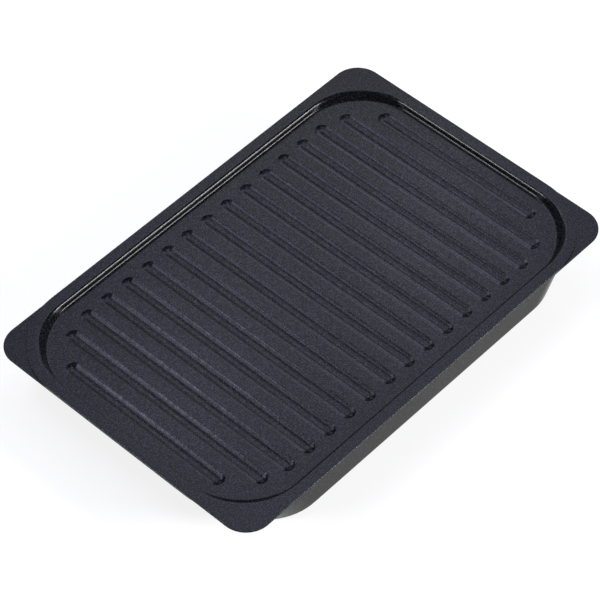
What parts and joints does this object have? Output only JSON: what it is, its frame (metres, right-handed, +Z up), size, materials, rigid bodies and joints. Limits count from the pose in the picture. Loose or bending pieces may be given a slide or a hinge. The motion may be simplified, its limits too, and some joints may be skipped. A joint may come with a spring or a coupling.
{
  "type": "stovetop grill pan",
  "caption": "Rectangular two-piece grill pan pressed from sheet steel: a deep lower pan with corner ears, and a shallow ribbed plate that lies on its flange and lifts off.",
  "frame": {"origin": "centre of the footprint, on the underside of the lower pan's floor", "axes": "+X along the long side, +Y along the short side, parallel to the beads, +Z up"},
  "size_m": [0.29, 0.1906, 0.0305],
  "materials": {
    "grill_pan": "matte dark non-stick coat on pressed steel",
    "ribbed_plate": "satin dark non-stick coat on pressed steel"
  },
  "bodies": {
    "grill_pan": {"grill_pan": "grill_pan"},
    "ribbed_plate": {"ribbed_plate": "ribbed_plate"}
  },
  "joints": [
    {"name": "plate_lift", "type": "slide", "parent": "grill_pan", "child": "ribbed_plate", "axis": [0, 0, 1], "range_m": [0, 0.06]}
  ]
}
